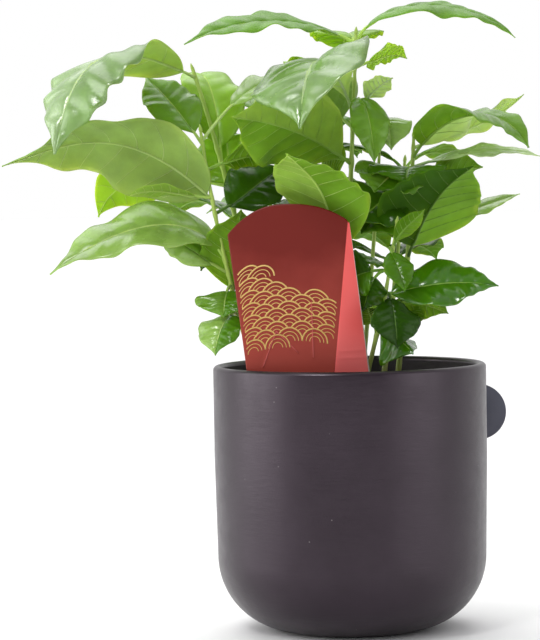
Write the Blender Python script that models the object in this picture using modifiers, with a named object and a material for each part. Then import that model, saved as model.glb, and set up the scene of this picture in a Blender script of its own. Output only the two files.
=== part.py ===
"""A potted coffee plant: ten young seedlings in a round cover pot, a folded card label and a round tag.

The frame is the pot's. The origin is the centre of its flat underside, +Z is up and -Y is the
side that the label faces. Sizes are in millimetres and angles in degrees; MM turns sizes into metres.
"""
import math
import random

import bmesh
import bpy
import numpy as np

MM = 0.001
TOUCH = 0.3             # clearance between solids that touch

POT_HEIGHT = 136.0
RIM_RADIUS = 70.0
FOOT_RADIUS = 31.0      # flat part of the underside
FILLET = 38.0           # round between the wall and the underside
WALL = 4.5
SOIL_LEVEL = 118.0      # the stems are cut flat here
TURN_STEPS = 36         # sides of the pot and the soil

CARD_THICK = 0.6
CARD_COLUMNS = 12
CARD_ROWS = 2
CARD_TOP_WIDTH = 60.0
CARD_RIM_WIDTH = 43.5   # width of the front panel where it passes the rim
CARD_RIM_X = -30.5      # centre of the front panel there
CARD_RIM_Y = -39.5
CARD_SLANT = 0.16       # the right side stands nearer by this share of the width
CARD_CREST = 218.5      # height of the card's rounded top
CARD_CREST_X = -30.9
CARD_LEAN_BACK = 4.0    # how far the top lies behind the rim level
CARD_SHOULDERS = (15.0, 8.5)    # how far the left and the right shoulder lie below the crest
FLAP_RIM_WIDTH = 19.5   # folded side flap, a long triangle that ends at the right shoulder
FLAP_FOLD = 28.0        # angle that the flap is folded back by

TAG_RADIUS = 14.8
TAG_THICK = 0.8
TAG_HEIGHT = 106.6
TAG_ANGLE = 38.4        # where the tag leaves the pot's wall, seen from above
TAG_TAB = (16.0, 9.0)   # length and height of the tab that lies on the wall
TAG_OVERLAP = 1.2       # how far the disc reaches over the tab's root
TAG_STEPS = 32
TAB_STEPS = 6

MIDRIB_STEPS = 48       # stations that a leaf's midrib is worked out at
BLADE_STEPS = 6         # faces along a leaf
LEAF_THICK = 0.011      # of the leaf's length
LEAST_THICK = 1.0
STALK_SIDES = 3
STALK_RADII = (1.0, 0.95, 0.9, 0.4)     # from inside the stem to the end within the blade
STALK_INSIDE = 9.0      # how far the stalk runs on within the blade
STEM_SIDES = 6
STEM_RING = 14.0        # distance between a stem's rings
STEM_TAPER = 0.5        # share of the foot's radius that is lost towards the tip
FLARE = 1.1             # added to the stem's radius at the soil
FLARE_FADE = 4.0        # height over which the flare fades
FORK_DROP = 6.0         # how far a mass begins below its lowest leaf
CROWN_RADIUS = 122.0
LEAF_GAP = 3.0          # least room between a leaf that the rule adds and what is there already

GREEN = (0.115, 0.330, 0.045)
PALE_GREEN = (0.300, 0.480, 0.110)

# The seedlings: where the stem leaves the soil, passes mid height and ends (x, y, z),
# then the stem's radius at the soil.
SEEDLINGS = {
    "left": ((-44, -8, SOIL_LEVEL), (-64, -12, 196), (-74, -14, 256), 1.5),
    "left_rear": ((-42, 12, SOIL_LEVEL), (-56, 14, 205), (-78, 12, 288), 1.9),
    "centre": ((-4, 8, SOIL_LEVEL), (2, 5, 226), (6, 4, 305), 1.7),
    "centre_rear": ((6, 20, SOIL_LEVEL), (14, 22, 195), (19, 22, 262), 1.4),
    "right_front": ((4, -27, SOIL_LEVEL), (19.3, -27, 180), (24, -28, 208), 1.4),
    "right": ((24, 8, SOIL_LEVEL), (31, 7, 190), (35, 7, 252), 1.6),
    "rear_left": ((-24, 36, SOIL_LEVEL), (-36, 46, 195), (-46, 54, 270), 1.6),
    "rear_right": ((18, 42, SOIL_LEVEL), (28, 54, 190), (33, 62, 240), 1.6),
    "rear": ((-6, 54, SOIL_LEVEL), (-10, 70, 190), (-10, 86, 252), 1.5),
    "front": ((-14, -20, SOIL_LEVEL), (-8, -20, 170), (-5, -22, 208), 1.4),
}


def leaf(node, heading, reach, lift, rise, fall, width, **shape):
    """One leaf: the height of its node on the stem; the heading, reach and lift of its tip from
    there; how steeply it leaves the stem and ends; its width; and what else sets its shape."""
    spec = {"node": node, "heading": heading, "reach": reach, "lift": lift, "rise": rise, "fall": fall,
            "width": width, "roll": 0.0, "twist": 0.0, "fold": 10.0, "curl": 0.15, "wave": 0.10,
            "ripples": 2.6, "phase": 0.0, "petiole": 9.0, "full": 0.36, "late": 0.36, "turn": 0.0,
            "arrive": 0.0, "peak": 0.47, "facing": None}
    spec.update(shape)
    return spec


# Leaves that the photograph shows, by seedling, each with the size and posture it has there.
SEEN = {
    "left": (
        leaf(221, -175, 106, 19, 46, -16, 48, roll=44, twist=-50, full=0.62, late=0.26, peak=0.38, fold=-3,
             petiole=4, wave=0.13, phase=3.1),
        leaf(249, 133, 44, 37, 46, 34, 28, roll=-22),
        leaf(251, 10, 46, 31, 52, -5, 26, roll=20, petiole=34),
        leaf(191, -172, 89, -6, 62, -38, 46, roll=-26, full=0.42, peak=0.36),
        leaf(184, -165, 40, 18, 25, -12, 17, roll=-60, curl=0.5),
        leaf(214, 34, 42, 24, 22, 28, 32, roll=38),
        leaf(236, 18, 38, 6, 26, -16, 22, roll=-35),
        leaf(166, -60, 6, 50, 88, 60, 38, facing=-70),
        leaf(222, -158, 45, 2, 6, -20, 12, roll=24, twist=50),
        leaf(162, -120, 24, -19, 34, -86, 25),
        leaf(177, -104, 16, -15, 10, -88, 30),
        leaf(202, 118, 18, -13, 10, -80, 26, roll=20),
    ),
    "left_rear": (
        leaf(284, -142, 88, -39, 22, -78, 54, roll=8, twist=-80, full=0.50, late=0.64, peak=0.50, fold=-2,
             wave=0.06, phase=3.0),
        leaf(240, 108, 53, 42, 86, -40, 32, full=0.6, peak=0.4),
        leaf(247, 120, 42, 28, 60, 0, 28, roll=10, full=0.45),
        leaf(228, 170, 69, -15, 12, -72, 30, roll=55, full=0.5, peak=0.62),
        leaf(218, 95, 20, 40, 84, 30, 38, facing=80),
    ),
    "centre": (
        leaf(300, -156, 95, -1, 26, -26, 30, roll=-18),
        leaf(300, -10, 82, 1, 66, -44, 30, roll=12, curl=0.3),
        leaf(264, -112, 76, -9, 72, -80, 64, roll=15, full=0.66, late=0.42, turn=-60, peak=0.6),
        leaf(297, 98, 46, 0, 54, -46, 38, wave=0.03),
        leaf(280, 136, 52, 10, 46, 0, 28, roll=10),
        leaf(288, 33, 33, 5, 12, -26, 21, roll=-32, peak=0.34),
        leaf(266, -24, 22, 16, 36, 20, 18, roll=-24),
        leaf(268, -72, 30, -30, 40, -88, 20, full=0.5),
        leaf(238, -140, 79, 24, 32, 4, 48, roll=50, wave=0.16),
        leaf(257, 136, 37, 16, 30, -10, 42, roll=-40),
        leaf(240, 178, 15, -1, 20, -40, 24, roll=55, petiole=3),
    ),
    "centre_rear": (
        leaf(256, -82, 30, -11, 44, -85, 24, full=0.55),
    ),
    "right_front": (
        leaf(196, -30, 18, 19, 70, 46, 10, roll=-50, petiole=3),
        leaf(194, -76, 20, -20, 44, -82, 15, turn=-60),
        leaf(172, -4, 57, 4, 14, -10, 32, roll=42, peak=0.46, petiole=3),
        leaf(166, 10, 34, -4, 30, -26, 20, roll=-46, peak=0.66, petiole=3),
        leaf(173, -76, 20, -27, 10, -84, 26, roll=-8, peak=0.54),
        leaf(184, -160, 15, -20, 16, -70, 28, roll=-20),
        leaf(184, 176, 22, -4, 10, -20, 26, roll=-62),
        leaf(163, 42, 20, -10, 20, -50, 28, roll=-20),
        leaf(154, -42, 23, -11, 0, -44, 23, roll=27, fold=-36, peak=0.5, petiole=2),
        leaf(152, -150, 5, 14, 70, 60, 18, facing=-100),
    ),
    "right": (
        leaf(241, -18, 61, 4, 50, -66, 44, roll=-4, twist=84, full=0.64, late=0.40, turn=-30, arrive=10,
             peak=0.40),
        leaf(246, 27, 67, 28, 20, 40, 28, roll=-30, peak=0.60),
        leaf(236, -13, 66, 5, 20, -14, 21, roll=16),
        leaf(189, -46, 46, 47, 60, 24, 61, roll=-12, turn=-10, peak=0.41, full=0.48, petiole=8, wave=0.03),
        leaf(236, -128, 34, -12, 4, -30, 38, roll=-22),
        leaf(219, 8, 38, 17, 24, 0, 30, roll=-40),
        leaf(221, -138, 36, -18, 0, -34, 38, roll=-30),
        leaf(224, -138, 40, -16, 4, -30, 36, roll=-34),
        leaf(233, -100, 28, -5, 30, -50, 40),
        leaf(203, 20, 63, 19, 16, 16, 16, roll=20, peak=0.58),
    ),
    "rear_left": (),
    "rear_right": (),
    "rear": (),
    "front": (
        leaf(186, -113, 62, 57, 86, 20, 48, roll=-6, full=0.50, late=0.40, peak=0.42, wave=0.05, phase=2.0),
        leaf(202, 170, 38, 12, 20, -36, 24, roll=-20),
    ),
}

# Leaf pairs that the photograph hides, by seedling: the heading of the top pair, then each
# node's height and leaf size. Every pair stands square to the one above it.
HIDDEN = {
    "rear_left": (150, ((262, 62), (238, 90), (214, 100), (190, 94), (166, 78))),
    "rear_right": (20, ((234, 76), (208, 98), (184, 90), (160, 72))),
    "rear": (70, ((242, 60), (218, 88), (194, 96), (170, 80))),
    "centre_rear": (105, ((238, 66), (212, 84), (186, 88), (158, 66))),
    "left_rear": (70, ((262, 66), (206, 90), (180, 86), (154, 64))),
    "centre": (80, ((212, 84), (186, 78), (160, 64))),
    "left": (60, ((200, 74),)),
    "right": (75, ((206, 84), (180, 76), (154, 64))),
    "front": (200, ((182, 56), (158, 48))),
}
# A hidden leaf that finds no room is tried again turned and smaller, then skipped.
TRIES = ((0, 1.0), (28, 0.95), (-28, 0.95), (50, 0.85), (-50, 0.85), (0, 0.7), (30, 0.66), (-30, 0.66))
# Bands of the crown: lower and upper height, then the least and the greatest x of a hidden leaf there.
BANDS = ((0, 160, -62, 34), (160, 178, -62, 48), (178, 205, -100, 58), (205, 250, -100, 72),
         (250, 400, -80, 26))
SEED = 1


def direction(azimuth, elevation):
    """Unit vector from two angles in degrees."""
    a, e = math.radians(azimuth), math.radians(elevation)
    return np.array([math.cos(e) * math.cos(a), math.cos(e) * math.sin(a), math.sin(e)])


def on_stem(name, z):
    """Point of a seedling's stem at height z, on the parabola through its three named points."""
    points = SEEDLINGS[name][:3]
    place = np.zeros(3)
    for i, point in enumerate(points):
        share = 1.0
        for j, other in enumerate(points):
            if j != i:
                share *= (z - other[2]) / (point[2] - other[2])
        place += share * np.array(point, float)
    place[2] = z
    return place


def stem_radius(name, z):
    """The radius tapers towards the tip and flares over the first few millimetres."""
    top, foot_radius = SEEDLINGS[name][2][2], SEEDLINGS[name][3]
    share = (z - SOIL_LEVEL) / (top - SOIL_LEVEL)
    return foot_radius * (1.0 - STEM_TAPER * share) + FLARE * math.exp(-(z - SOIL_LEVEL) / FLARE_FADE)


def midrib(name, spec):
    """Stations along a leaf's midrib at equal steps: share, point, side axis, upper axis; and its length."""
    base = on_stem(name, spec["node"])
    tip = base + direction(spec["heading"], 0) * spec["reach"] + np.array([0, 0, spec["lift"]])
    span = np.linalg.norm(tip - base)
    facing = spec["heading"] if spec["facing"] is None else spec["facing"]
    left = direction(facing + 90, 0)
    leave = base + direction(facing + spec["turn"], spec["rise"]) * span * spec["full"]
    reach = tip - direction(facing + spec["arrive"], spec["fall"]) * span * spec["late"]
    t = np.linspace(0, 1, 4 * MIDRIB_STEPS + 1)[:, None]
    curve = base * (1 - t) ** 3 + 3 * leave * t * (1 - t) ** 2 + 3 * reach * t * t * (1 - t) + tip * t ** 3
    travel = np.concatenate([[0], np.cumsum(np.linalg.norm(np.diff(curve, axis=0), axis=1))])
    share = np.linspace(0, 1, MIDRIB_STEPS + 1)
    point = np.stack([np.interp(share * travel[-1], travel, curve[:, k]) for k in range(3)], 1)
    along = np.gradient(point, axis=0)
    along /= np.linalg.norm(along, axis=1)[:, None]
    side = left[None, :] - (along @ left)[:, None] * along
    side /= np.linalg.norm(side, axis=1)[:, None]
    upper = np.cross(along, side)
    roll = np.radians(spec["roll"] + spec["twist"] * (share - 0.5))[:, None]
    return (share, point, side * np.cos(roll) + upper * np.sin(roll),
            upper * np.cos(roll) - side * np.sin(roll), travel[-1])


def outline(share, peak):
    """Half-width of a coffee leaf as a share of its greatest: wedge-shaped base, drip tip at the end."""
    body = np.sin(math.pi * np.clip(share / 0.98, 0, 1) ** (math.log(0.5) / math.log(peak))) ** 0.9
    drip = np.clip((share - 0.78) / 0.22, 0, 1)
    return body * (1 - 0.55 * drip) + 0.03


def stalk_share(spec, length):
    """Share of a leaf's length that is bare stalk."""
    return min(spec["petiole"] / length, 0.4)


def blade(name, spec, steps, halves):
    """Points of a leaf's blade, steps + 1 stations by 2 * halves + 1 across."""
    share, point, side, upper, length = midrib(name, spec)
    start = stalk_share(spec, length)
    s = np.linspace(0, 1, steps + 1)

    def at_station(values):
        return np.stack([np.interp(start + (1 - start) * s, share, values[:, k]) for k in range(3)], 1)

    point, side, upper = at_station(point), at_station(side), at_station(upper)
    half = outline(s, spec["peak"]) * spec["width"] / 2
    across = np.linspace(-1, 1, 2 * halves + 1)
    out = np.abs(across)[None, :]
    shift = np.where(across < 0, 1.9, 0.0)[None, :]
    lift = half[:, None] * (math.tan(math.radians(spec["fold"])) * out - spec["curl"] * out * out)
    waves = np.sin(2 * math.pi * spec["ripples"] * s[:, None] + spec["phase"] + shift)
    lift = lift + spec["wave"] * spec["width"] / 2 * out * out * waves * np.sin(math.pi * s)[:, None]
    points = (point[:, None, :] + side[:, None, :] * (half[:, None] * across[None, :])[:, :, None]
              + upper[:, None, :] * lift[:, :, None])
    return points


def hidden_leaf(name, node, azimuth, size, draw):
    """A leaf by rule: posture from its height in the crown and from a seeded draw."""
    share = (node - SOIL_LEVEL) / 150.0
    reach = size * draw.uniform(0.86, 1.1)
    lift = reach * (draw.uniform(-0.10, 0.16) + 0.25 * (share - 0.55))
    heading = azimuth + draw.uniform(-14, 14)
    return leaf(node, heading, reach, lift, 30 + 34 * share + draw.uniform(-8, 8), -34 - 30 * draw.random(),
                reach * draw.uniform(0.44, 0.52), roll=draw.uniform(-22, 22), twist=draw.uniform(-25, 25),
                turn=draw.uniform(-18, 18), curl=draw.uniform(0.1, 0.3), wave=draw.uniform(0.06, 0.14),
                phase=draw.uniform(0, 6))


def nearest(points, others):
    """Least distance between two sets of points."""
    least = 1e9
    for start in range(0, len(points), 64):
        gaps = points[start:start + 64, None, :] - others[None, :, :]
        least = min(least, float((gaps * gaps).sum(2).min()))
    return math.sqrt(least)


def finds_room(name, spec, points, leaves, stems):
    """Whether a leaf keeps inside the crown and clear of the leaves, stems, rim and label."""
    x, y, z = points.T
    if z.min() < POT_HEIGHT + 5 or np.hypot(x, y).max() > CROWN_RADIUS:
        return False
    if np.any((y < -24) & (z < CARD_CREST + 3) & (x > -66) & (x < 16)):
        return False
    for low, high, least, most in BANDS:
        if np.any((z >= low) & (z < high) & ((x < least) | (x > most))):
            return False
    base = on_stem(name, spec["node"])
    away = points[np.linalg.norm(points - base, axis=1) > 8]
    for other in leaves:
        apart = np.any(away.max(0) + LEAF_GAP < other.min(0)) or np.any(other.max(0) + LEAF_GAP < away.min(0))
        if not apart and nearest(away, other) < LEAF_GAP:
            return False
    for owner, stem in stems.items():
        if nearest(away if owner == name else points, stem) < LEAF_GAP + 0.6:
            return False
    return True


def grow():
    """All leaves by seedling: those seen, then those of the rule that find room."""
    draw = random.Random(SEED)
    crown = {name: list(SEEN[name]) for name in SEEDLINGS}
    leaves = [blade(name, spec, 24, 3).reshape(-1, 3) for name in SEEDLINGS for spec in crown[name]]
    stems = {name: np.array([on_stem(name, z) for z in np.linspace(SOIL_LEVEL, SEEDLINGS[name][2][2], 50)])
             for name in SEEDLINGS}
    for name, (azimuth, nodes) in HIDDEN.items():
        for pair, (node, size) in enumerate(nodes):
            for side in (0, 180):
                for turn, smaller in TRIES:
                    spec = hidden_leaf(name, node, azimuth + 90 * pair + side + turn, size * smaller, draw)
                    points = blade(name, spec, 24, 3).reshape(-1, 3)
                    if finds_room(name, spec, points, leaves, stems):
                        crown[name].append(spec)
                        leaves.append(points)
                        break
    return crown


def material(name, colour, roughness):
    """A plain Principled material."""
    made = bpy.data.materials.new(name)
    made.use_nodes = True
    shader = made.node_tree.nodes["Principled BSDF"]
    shader.inputs["Base Color"].default_value = (*colour, 1.0)
    shader.inputs["Roughness"].default_value = roughness
    shader.inputs["Metallic"].default_value = 0.0
    return made


def new_object(name, bm, collection, surface):
    """A mesh object from a bmesh, in a collection."""
    mesh = bpy.data.meshes.new(name)
    bm.to_mesh(mesh)
    bm.free()
    made = bpy.data.objects.new(name, mesh)
    collection.objects.link(made)
    mesh.materials.append(surface)
    return made


def applied(source):
    """The object's mesh as its modifiers leave it."""
    bpy.context.view_layer.update()
    return bpy.data.meshes.new_from_object(source.evaluated_get(bpy.context.evaluated_depsgraph_get()))


def swept_tube(name, rings, sides, collection, surface):
    """A tapering closed tube: a cylinder whose rings are moved to (centre, side, upper, radius) stations."""
    bm = bmesh.new()
    bmesh.ops.create_cone(bm, cap_ends=True, segments=sides, radius1=1.0, radius2=1.0, depth=1.0)
    upright = [edge for edge in bm.edges if abs(edge.verts[0].co.z - edge.verts[1].co.z) > 0.5]
    if len(rings) > 2:
        bmesh.ops.subdivide_edges(bm, edges=upright, cuts=len(rings) - 2)
    for vert in bm.verts:
        centre, side, upper, radius = rings[round((vert.co.z + 0.5) * (len(rings) - 1))]
        place = centre + radius * (vert.co.x * side + vert.co.y * upper)
        vert.co = place * MM
    return new_object(name, bm, collection, surface)


def stem_tube(name, seedling, low, high, collection, surface):
    """A stretch of a stem between two heights, cut flat at both."""
    count = max(4, int((high - low) / STEM_RING) + 2)
    heights = [low + (high - low) * k / (count - 1) for k in range(count)]
    if low == SOIL_LEVEL:
        heights[1:1] = [low + FLARE_FADE, low + 2 * FLARE_FADE]
    across, deep = np.array([1.0, 0, 0]), np.array([0, 1.0, 0])
    rings = [(on_stem(seedling, z), across, deep, stem_radius(seedling, z)) for z in heights]
    return swept_tube(name, rings, STEM_SIDES, collection, surface)


def leaf_blade(name, seedling, spec, collection, surface):
    """A leaf's blade as a grid bent to its shape, given its thickness by Solidify."""
    points = blade(seedling, spec, BLADE_STEPS, 1)
    bm = bmesh.new()
    bmesh.ops.create_grid(bm, x_segments=BLADE_STEPS, y_segments=2, size=1.0)
    for vert in bm.verts:
        station, across = round((vert.co.x + 1) / 2 * BLADE_STEPS), round(vert.co.y + 1)
        vert.co = points[station, across] * MM
    made = new_object(name, bm, collection, surface)
    shell = made.modifiers.new("thickness", 'SOLIDIFY')
    shell.thickness = max(LEAST_THICK, LEAF_THICK * midrib(seedling, spec)[4]) * MM
    shell.offset = 0.0
    return made


def leaf_stalk(name, seedling, spec, collection, surface):
    """The petiole, from inside the stem to where the blade has begun to widen."""
    share, point, side, upper, length = midrib(seedling, spec)
    bare = stalk_share(spec, length)
    inside = min(bare + STALK_INSIDE / length, bare + 0.2)
    rings = []
    for s, radius in zip((0.0, bare / 2, bare, inside), STALK_RADII):
        centre, across, deep = (np.array([np.interp(s, share, v[:, k]) for k in range(3)])
                                for v in (point, side, upper))
        rings.append((centre, across, deep, radius))
    return swept_tube(name, rings, STALK_SIDES, collection, surface)


def keep_outer_shell(mesh):
    """Fills hollows that the union sealed and drops loose scraps: only the largest closed shell stays."""
    bm = bmesh.new()
    bm.from_mesh(mesh)
    waiting = set(bm.faces)
    shells = []
    while waiting:
        shell, front = [], [waiting.pop()]
        while front:
            face = front.pop()
            shell.append(face)
            for edge in face.edges:
                for other in edge.link_faces:
                    if other in waiting:
                        waiting.remove(other)
                        front.append(other)
        shells.append(shell)
    shells.sort(key=len)
    for shell in shells[:-1]:
        bmesh.ops.delete(bm, geom=shell, context='FACES')
    bm.to_mesh(mesh)
    bm.free()


def foliage(seedling, specs, foot, parts, surface):
    """One mass: the leafy stretch of a stem with its petioles and leaves fused on."""
    top = SEEDLINGS[seedling][2][2]
    stem = stem_tube("foliage_" + seedling, seedling, foot, top, parts, surface)
    joined = bpy.data.collections.new("joined")
    bpy.context.scene.collection.children.link(joined)
    for number, spec in enumerate(specs):
        leaf_blade("blade%d" % number, seedling, spec, joined, surface)
        leaf_stalk("stalk%d" % number, seedling, spec, joined, surface)
    union = stem.modifiers.new("union", 'BOOLEAN')
    union.operation = 'UNION'
    union.operand_type = 'COLLECTION'
    union.collection = joined
    union.solver = 'MANIFOLD'
    whole = applied(stem)
    keep_outer_shell(whole)
    stem.modifiers.clear()
    stem.data = whole
    for operand in list(joined.objects):
        bpy.data.objects.remove(operand)
    bpy.data.collections.remove(joined)
    return stem


def bowl(inset, top):
    """Half profile (radius, height) of the pot's wall moved inward by inset, from the top to the axis."""
    profile = [(RIM_RADIUS - inset, top)]
    for step in range(9):
        angle = math.radians(90 * step / 8)
        profile.append((FOOT_RADIUS + (FILLET - inset) * math.cos(angle),
                        FILLET - (FILLET - inset) * math.sin(angle)))
    profile.append((0.0, inset))
    return profile


def turned(name, profile, parts, surface):
    """A solid of revolution from a half profile that starts and ends on the axis."""
    bm = bmesh.new()
    verts = [bm.verts.new((r * MM, 0.0, z * MM)) for r, z in profile]
    for first, second in zip(verts, verts[1:]):
        bm.edges.new((first, second))
    made = new_object(name, bm, parts, surface)
    screw = made.modifiers.new("turn", 'SCREW')
    screw.steps = TURN_STEPS
    screw.render_steps = TURN_STEPS
    screw.use_merge_vertices = True
    screw.merge_threshold = 0.00001
    return made


def pot(parts):
    """The cover pot: even wall, rounded rim, wide round above a flat underside."""
    half = WALL / 2
    rim = [(RIM_RADIUS - half - half * math.cos(math.radians(30 * k)),
            POT_HEIGHT - half + half * math.sin(math.radians(30 * k))) for k in range(1, 6)]
    inner = bowl(WALL, POT_HEIGHT - half)[::-1]
    return turned("pot", inner + rim + bowl(0.0, POT_HEIGHT - half), parts,
                  material("pot_ceramic", (0.048, 0.043, 0.048), 0.5))


def soil(parts):
    """Potting soil, which fills the pot to a little under the rim."""
    body = bowl(WALL + TOUCH, SOIL_LEVEL - TOUCH)
    return turned("soil", [(0.0, SOIL_LEVEL - TOUCH)] + body, parts,
                  material("potting_soil", (0.030, 0.020, 0.014), 0.95))


def card_point(across, up):
    """Point of the card: across is -1 to 1 on the front panel and up to 2 on the flap, up 0 at the foot."""
    rim_share = (POT_HEIGHT - SOIL_LEVEL) / (CARD_CREST - SOIL_LEVEL)
    taper = (up - rim_share) / (1 - rim_share)
    width = CARD_RIM_WIDTH + (CARD_TOP_WIDTH - CARD_RIM_WIDTH) * taper
    centre = CARD_RIM_X + (CARD_CREST_X - CARD_RIM_X) * taper
    on_panel = min(across, 1.0)
    shoulder = CARD_SHOULDERS[0] if on_panel < 0 else CARD_SHOULDERS[1]
    top = CARD_CREST - shoulder * abs(on_panel) ** 2.4
    foot = SOIL_LEVEL + TOUCH
    x = centre + width / 2 * on_panel
    y = CARD_RIM_Y + CARD_LEAN_BACK * taper - CARD_SLANT * (x - centre)
    z = foot + (top - foot) * up
    if across > 1.0:
        flap = FLAP_RIM_WIDTH * (1 - taper) * (across - 1) + 0.6
        x += flap * math.cos(math.radians(FLAP_FOLD))
        y += flap * math.sin(math.radians(FLAP_FOLD))
    return np.array([x, y, z])


def label_card(parts):
    """Thin folded card that stands in the soil: a front panel with a rounded top and a flap at its right."""
    bm = bmesh.new()
    bmesh.ops.create_grid(bm, x_segments=CARD_COLUMNS, y_segments=CARD_ROWS, size=1.0)
    for vert in bm.verts:
        column = round((vert.co.x + 1) / 2 * CARD_COLUMNS)
        across = -1 + 2 * column / (CARD_COLUMNS - 1) if column < CARD_COLUMNS else 2.0
        vert.co = card_point(across, (vert.co.y + 1) / 2) * MM
    made = new_object("label_card", bm, parts, material("printed_card", (0.185, 0.022, 0.022), 0.5))
    sheet = made.modifiers.new("thickness", 'SOLIDIFY')
    sheet.thickness = CARD_THICK * MM
    sheet.offset = 0.0
    sheet.use_even_offset = True
    return made


def round_tag(parts):
    """Small round card beside the pot, held by a tab that lies on the wall behind it."""
    surface = material("tag_card", (0.050, 0.060, 0.090), 0.55)
    wall = RIM_RADIUS - 0.2
    angle = math.radians(TAG_ANGLE)
    root = np.array([math.cos(angle), math.sin(angle), 0.0]) * (wall + TOUCH + TAG_THICK)
    bm = bmesh.new()
    bmesh.ops.create_cone(bm, cap_ends=True, segments=TAG_STEPS, radius1=TAG_RADIUS, radius2=TAG_RADIUS,
                          depth=TAG_THICK)
    for vert in bm.verts:
        x, y, z = vert.co
        vert.co = np.array([root[0] + TAG_RADIUS - TAG_OVERLAP + x, root[1] + z, TAG_HEIGHT + y]) * MM
    disc = new_object("round_tag", bm, parts, surface)

    length, height = TAG_TAB
    bm = bmesh.new()
    bmesh.ops.create_grid(bm, x_segments=TAB_STEPS, y_segments=1, size=1.0)
    for vert in bm.verts:
        turn = angle + ((vert.co.x + 1) / 2 * length - TAG_OVERLAP / 2) / wall
        radius = wall + TOUCH + TAG_THICK / 2
        vert.co = (radius * math.cos(turn) * MM, radius * math.sin(turn) * MM,
                   (TAG_HEIGHT + vert.co.y * height / 2) * MM)
    tab = new_object("tab", bm, parts, surface)
    sheet = tab.modifiers.new("thickness", 'SOLIDIFY')
    sheet.thickness = TAG_THICK * MM
    sheet.offset = 0.0

    union = disc.modifiers.new("union", 'BOOLEAN')
    union.operation = 'UNION'
    union.object = tab
    whole = applied(disc)
    disc.modifiers.clear()
    disc.data = whole
    bpy.data.objects.remove(tab)
    return disc


def main():
    for old in list(bpy.data.objects):
        bpy.data.objects.remove(old)
    parts = bpy.data.collections.new("potted_coffee_plant")
    bpy.context.scene.collection.children.link(parts)

    pot(parts)
    soil(parts)
    label_card(parts)
    round_tag(parts)

    bark = material("young_stem", PALE_GREEN, 0.45)
    leaves = material("coffee_leaf", GREEN, 0.3)
    for seedling, specs in grow().items():
        fork = min(spec["node"] for spec in specs) - FORK_DROP
        stem_tube("stem_" + seedling, seedling, SOIL_LEVEL, fork - TOUCH, parts, bark)
        foliage(seedling, specs, fork, parts, leaves)


main()
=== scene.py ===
"""Looks of the potted coffee plant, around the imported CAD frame.

Sizes are in millimetres and angles in degrees, as in the part's source; MM turns them into metres. The
leaves grow by the source's rule, and then get their veins, relief and gloss.
"""
import math
import random
from itertools import groupby

import bmesh
import bpy
import numpy as np
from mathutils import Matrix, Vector


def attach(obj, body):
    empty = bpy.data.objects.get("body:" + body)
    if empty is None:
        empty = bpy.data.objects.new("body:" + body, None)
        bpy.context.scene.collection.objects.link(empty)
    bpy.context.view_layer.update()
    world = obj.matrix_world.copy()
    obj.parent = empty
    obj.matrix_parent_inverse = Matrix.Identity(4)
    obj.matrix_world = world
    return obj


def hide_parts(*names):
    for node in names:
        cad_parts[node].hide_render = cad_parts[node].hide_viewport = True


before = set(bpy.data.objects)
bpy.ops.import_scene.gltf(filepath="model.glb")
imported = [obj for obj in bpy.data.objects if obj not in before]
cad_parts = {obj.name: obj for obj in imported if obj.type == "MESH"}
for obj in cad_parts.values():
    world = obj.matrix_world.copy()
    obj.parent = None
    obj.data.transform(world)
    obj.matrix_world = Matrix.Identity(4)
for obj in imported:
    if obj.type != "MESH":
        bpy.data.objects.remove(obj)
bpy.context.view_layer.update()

MM = 0.001

# The growth rule of the part's source, with the same names, sizes and order of draws.
POT_HEIGHT = 136.0
RIM_RADIUS = 70.0
SOIL_LEVEL = 118.0
CARD_CREST = 218.5
MIDRIB_STEPS = 48
STEM_TAPER = 0.5
FLARE = 1.1
FLARE_FADE = 4.0
CROWN_RADIUS = 122.0
LEAF_GAP = 3.0

SEEDLINGS = {
    "left": ((-44, -8, SOIL_LEVEL), (-64, -12, 196), (-74, -14, 256), 1.5),
    "left_rear": ((-42, 12, SOIL_LEVEL), (-56, 14, 205), (-78, 12, 288), 1.9),
    "centre": ((-4, 8, SOIL_LEVEL), (2, 5, 226), (6, 4, 305), 1.7),
    "centre_rear": ((6, 20, SOIL_LEVEL), (14, 22, 195), (19, 22, 262), 1.4),
    "right_front": ((4, -27, SOIL_LEVEL), (19.3, -27, 180), (24, -28, 208), 1.4),
    "right": ((24, 8, SOIL_LEVEL), (31, 7, 190), (35, 7, 252), 1.6),
    "rear_left": ((-24, 36, SOIL_LEVEL), (-36, 46, 195), (-46, 54, 270), 1.6),
    "rear_right": ((18, 42, SOIL_LEVEL), (28, 54, 190), (33, 62, 240), 1.6),
    "rear": ((-6, 54, SOIL_LEVEL), (-10, 70, 190), (-10, 86, 252), 1.5),
    "front": ((-14, -20, SOIL_LEVEL), (-8, -20, 170), (-5, -22, 208), 1.4),
}


def leaf(node, heading, reach, lift, rise, fall, width, **shape):
    """One leaf: the height of its node on the stem; the heading, reach and lift of its tip from
    there; how steeply it leaves the stem and ends; its width; and what else sets its shape."""
    spec = {"node": node, "heading": heading, "reach": reach, "lift": lift, "rise": rise, "fall": fall,
            "width": width, "roll": 0.0, "twist": 0.0, "fold": 10.0, "curl": 0.15, "wave": 0.10,
            "ripples": 2.6, "phase": 0.0, "petiole": 9.0, "full": 0.36, "late": 0.36, "turn": 0.0,
            "arrive": 0.0, "peak": 0.47, "facing": None}
    spec.update(shape)
    return spec


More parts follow.
